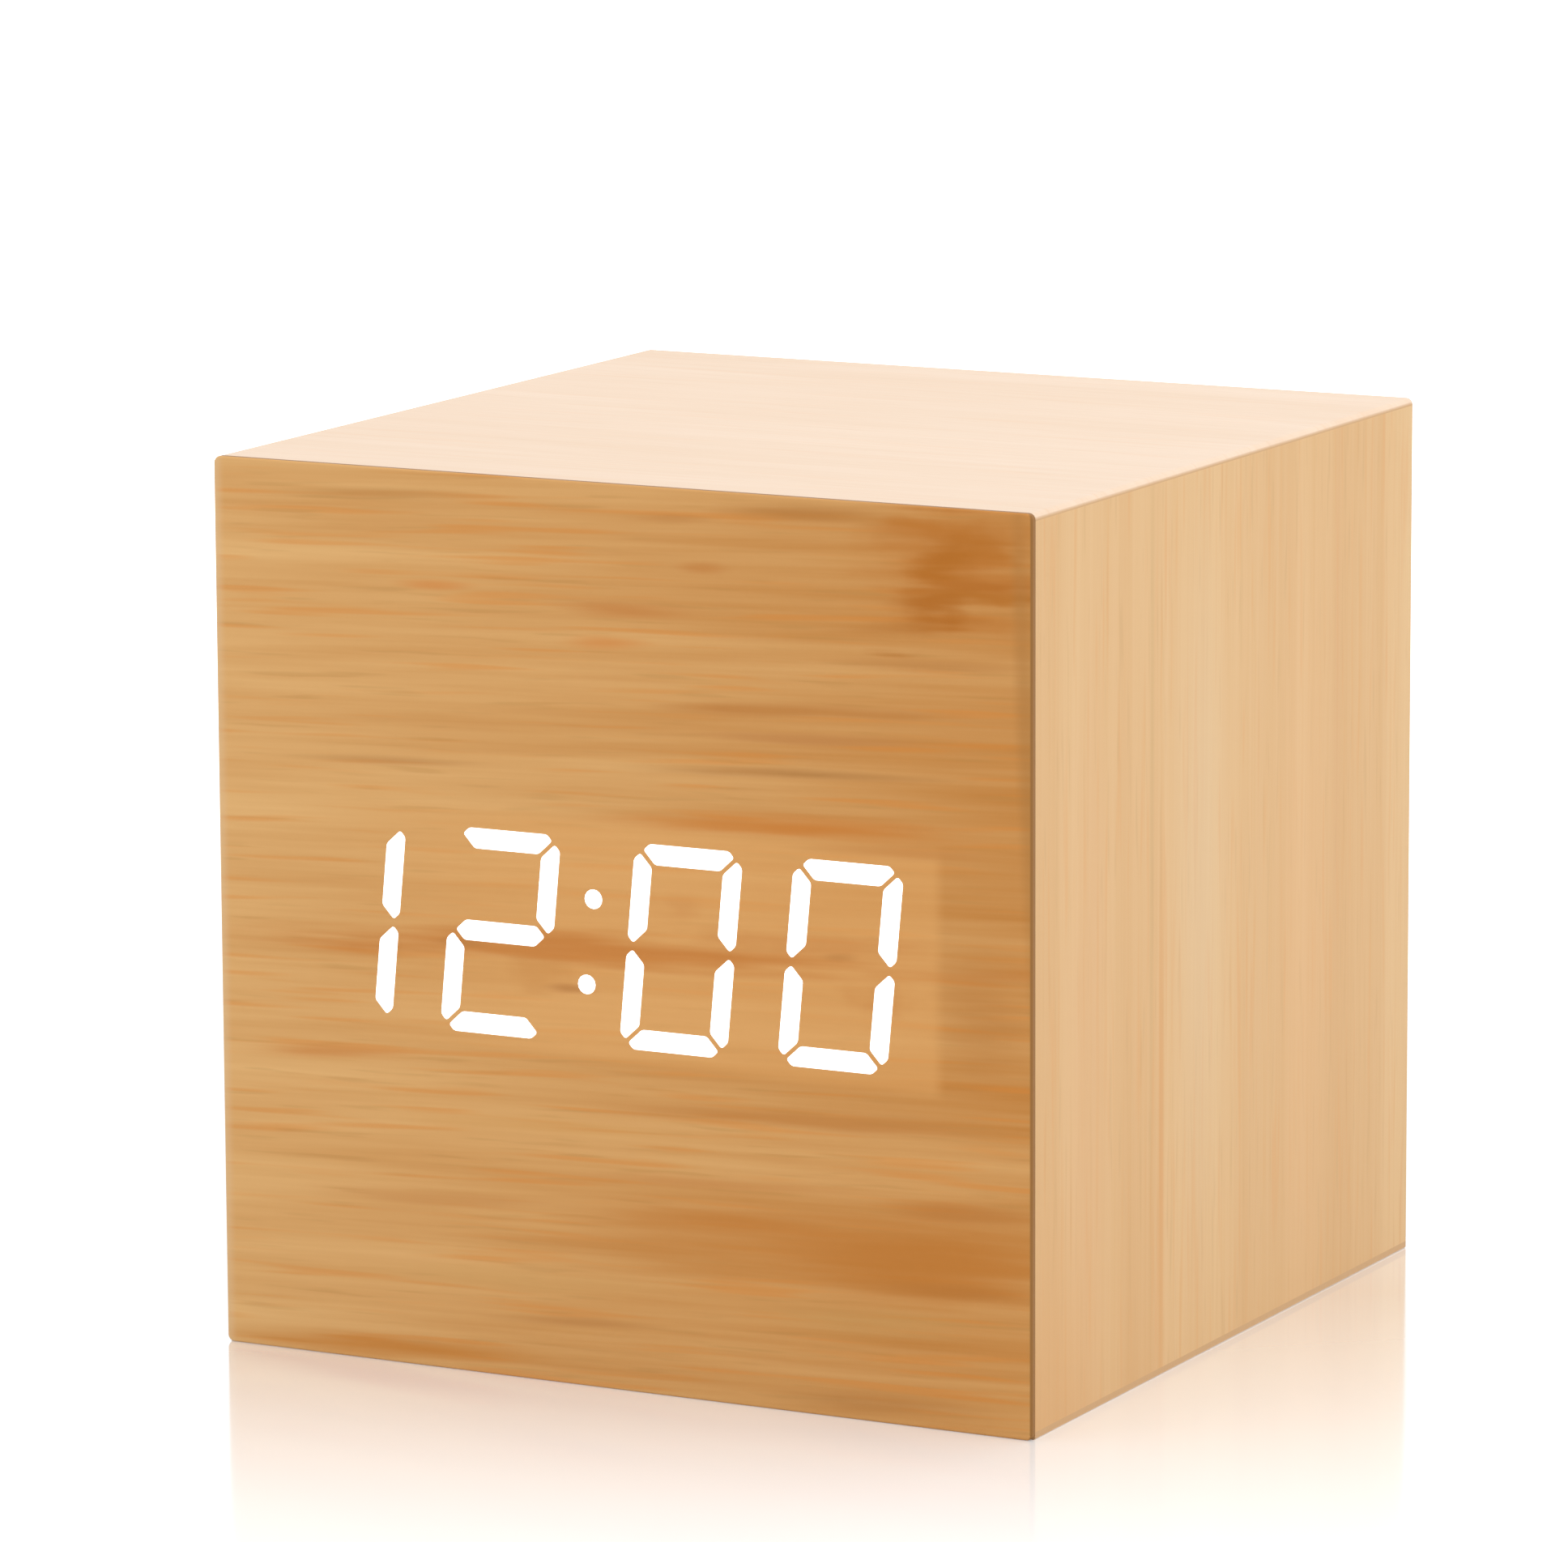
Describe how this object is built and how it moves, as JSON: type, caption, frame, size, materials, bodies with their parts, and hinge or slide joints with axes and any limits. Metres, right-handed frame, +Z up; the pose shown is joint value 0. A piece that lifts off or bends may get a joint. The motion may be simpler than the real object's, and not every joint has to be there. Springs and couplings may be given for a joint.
{
  "type": "wooden digital alarm clock",
  "caption": "Cube-shaped wooden digital alarm clock with a lit digit display in its front face, and a rear cover with push buttons, power socket and battery door.",
  "frame": {"origin": "middle of the underside that the clock stands on", "axes": "+Z up, -Y towards the person who reads the display, +X to that person's right"},
  "size_m": [0.06, 0.06, 0.06],
  "materials": {
    "front_veneer": "satin bamboo veneer, grain level",
    "side_veneer": "satin pale bamboo veneer",
    "fibreboard": "cut fibreboard",
    "softwood": "sawn",
    "white_plastic": "moulded",
    "light_guide": "lit white",
    "circuit_board": "green solder mask",
    "black_plastic": "fine spark-eroded texture",
    "button_plastic": "moulded",
    "chip_plastic": "moulded",
    "nickel": "nickel plated",
    "screw_steel": "zinc plated",
    "cell_jacket": "gloss sleeve",
    "capacitor_sleeve": "shrunk sleeve",
    "epoxy": "dipped",
    "ribbon_jacket": "ribbed",
    "red_jacket": "soft vinyl",
    "black_jacket": "soft vinyl"
  },
  "bodies": {
    "clock_case": {"top_board": "fibreboard", "bottom_board": "fibreboard", "left_board": "fibreboard", "right_board": "fibreboard", "front_board": "fibreboard", "top_veneer": "side_veneer", "bottom_veneer": "side_veneer", "left_veneer": "side_veneer", "right_veneer": "side_veneer", "front_veneer": "front_veneer", "left_corner_block": "softwood", "right_corner_block": "softwood", "bottom_cleat": "softwood", "display_reflector": "white_plastic", "hours_tens_guide": "light_guide", "hours_units_guide": "light_guide", "colon_guide": "light_guide", "minutes_tens_guide": "light_guide", "minutes_units_guide": "light_guide", "display_board": "circuit_board", "display_screw_upper": "screw_steel", "display_screw_lower": "screw_steel", "back_cover": "black_plastic", "left_cover_screw": "screw_steel", "right_cover_screw": "screw_steel", "set_switch_body": "chip_plastic", "up_switch_body": "chip_plastic", "down_switch_body": "chip_plastic", "lower_cell": "cell_jacket", "middle_cell": "cell_jacket", "upper_cell": "cell_jacket", "lower_contact_spring": "nickel", "middle_contact_spring": "nickel", "upper_contact_spring": "nickel", "positive_contact": "nickel", "negative_contact": "nickel", "right_link_contact": "nickel", "left_link_contact": "nickel", "main_board": "circuit_board", "left_board_screw": "screw_steel", "right_board_screw": "screw_steel", "power_socket_shell": "nickel", "power_socket_tongue": "chip_plastic", "microphone": "nickel", "controller_chip": "chip_plastic", "crystal": "nickel", "capacitor": "capacitor_sleeve", "buzzer": "black_plastic", "temperature_sensor": "epoxy", "ribbon_cable": "ribbon_jacket", "positive_wire": "red_jacket", "negative_wire": "black_jacket"},
    "door": {"battery_door": "black_plastic"},
    "set_button": {"set_button_cap": "button_plastic", "set_switch_plunger": "white_plastic"},
    "up_button": {"up_button_cap": "button_plastic", "up_switch_plunger": "white_plastic"},
    "down_button": {"down_button_cap": "button_plastic", "down_switch_plunger": "white_plastic"}
  },
  "joints": [
    {"name": "door_swing", "type": "hinge", "parent": "clock_case", "child": "door", "pos_m": [0, 0.028, 0.0089], "axis": [-1, 0, 0], "range_deg": [0, 60]},
    {"name": "set_press", "type": "slide", "parent": "clock_case", "child": "set_button", "axis": [0, -1, 0], "range_m": [0, 0.0005], "stiffness_N_per_m": 800, "springref_m": -0.0003},
    {"name": "up_press", "type": "slide", "parent": "clock_case", "child": "up_button", "axis": [0, -1, 0], "range_m": [0, 0.0005], "stiffness_N_per_m": 800, "springref_m": -0.0003},
    {"name": "down_press", "type": "slide", "parent": "clock_case", "child": "down_button", "axis": [0, -1, 0], "range_m": [0, 0.0005], "stiffness_N_per_m": 800, "springref_m": -0.0003}
  ]
}
